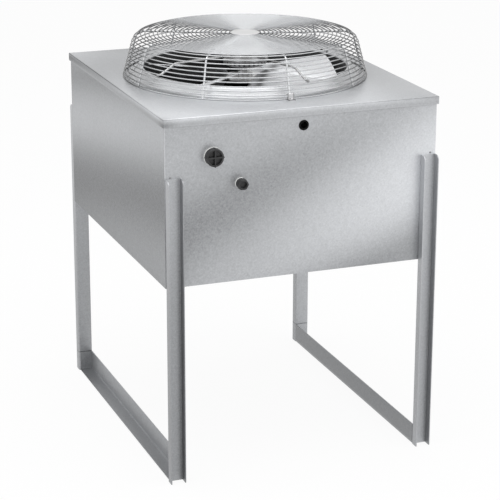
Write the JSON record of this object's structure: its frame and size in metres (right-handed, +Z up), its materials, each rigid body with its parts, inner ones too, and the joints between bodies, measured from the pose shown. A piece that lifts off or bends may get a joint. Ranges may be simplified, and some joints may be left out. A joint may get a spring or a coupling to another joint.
{
  "type": "remote condenser",
  "caption": "Air-cooled remote condenser: galvanised cabinet on four channel legs, open-bottom coil, capped line couplings and a top fan under a domed wire guard.",
  "frame": {"origin": "on the ground, at the middle of the four legs' footprint and on the fan's axis", "axes": "+X to the right along the front face that holds the couplings, +Y into the depth, +Z up"},
  "size_m": [0.71, 0.845, 1.023],
  "materials": {
    "galvanised_panel": "galvanised sheet with a fine spangle",
    "galvanised_leg": "galvanised channel with a fine spangle",
    "spun_ring": "bright galvanised spinning",
    "plated_wire": "bright zinc-plated wire",
    "zinc_plated": "zinc plating",
    "motor_paint": "satin black paint",
    "blade_aluminium": "mill-finish aluminium",
    "coil_aluminium": "close-set aluminium fins",
    "copper": "dull copper tube",
    "coupling_plating": "bright plated coupling",
    "black_plastic": "moulded black plastic"
  },
  "bodies": {
    "cabinet": {"back_left_leg": "galvanised_leg", "back_panel": "galvanised_panel", "back_right_leg": "galvanised_leg", "cable_grommet": "black_plastic", "coil_fins": "coil_aluminium", "coil_tube_sheet_back": "galvanised_panel", "coil_tube_sheet_front": "galvanised_panel", "front_left_leg": "galvanised_leg", "front_panel": "galvanised_panel", "front_right_leg": "galvanised_leg", "gas_header": "copper", "gas_line": "copper", "guard_back_rings": "plated_wire", "guard_clip": "zinc_plated", "guard_front_rings": "plated_wire", "guard_hub_plate": "plated_wire", "guard_left_rings": "plated_wire", "guard_ribs": "plated_wire", "guard_right_rings": "plated_wire", "guard_top_rings": "plated_wire", "large_coupling": "coupling_plating", "large_dust_cap": "black_plastic", "left_foot_rail": "galvanised_leg", "left_side_panel": "galvanised_panel", "liquid_header": "copper", "liquid_line": "copper", "motor": "motor_paint", "motor_arms": "plated_wire", "motor_band": "zinc_plated", "return_bends_back": "copper", "return_bends_front": "copper", "right_foot_rail": "galvanised_leg", "right_side_panel": "galvanised_panel", "small_coupling": "coupling_plating", "small_dust_cap": "black_plastic", "top_panel": "galvanised_panel", "venturi_ring": "spun_ring"},
    "fan": {"fan_blade_1": "blade_aluminium", "fan_blade_2": "blade_aluminium", "fan_blade_3": "blade_aluminium", "fan_blade_4": "blade_aluminium", "fan_blade_5": "blade_aluminium", "fan_hub": "zinc_plated", "fan_shaft": "zinc_plated", "fan_spider": "zinc_plated"}
  },
  "joints": [
    {"name": "fan_spin", "type": "hinge", "parent": "cabinet", "child": "fan", "pos_m": [0, 0, 0.906], "axis": [0, 0, 1], "continuous": true}
  ]
}
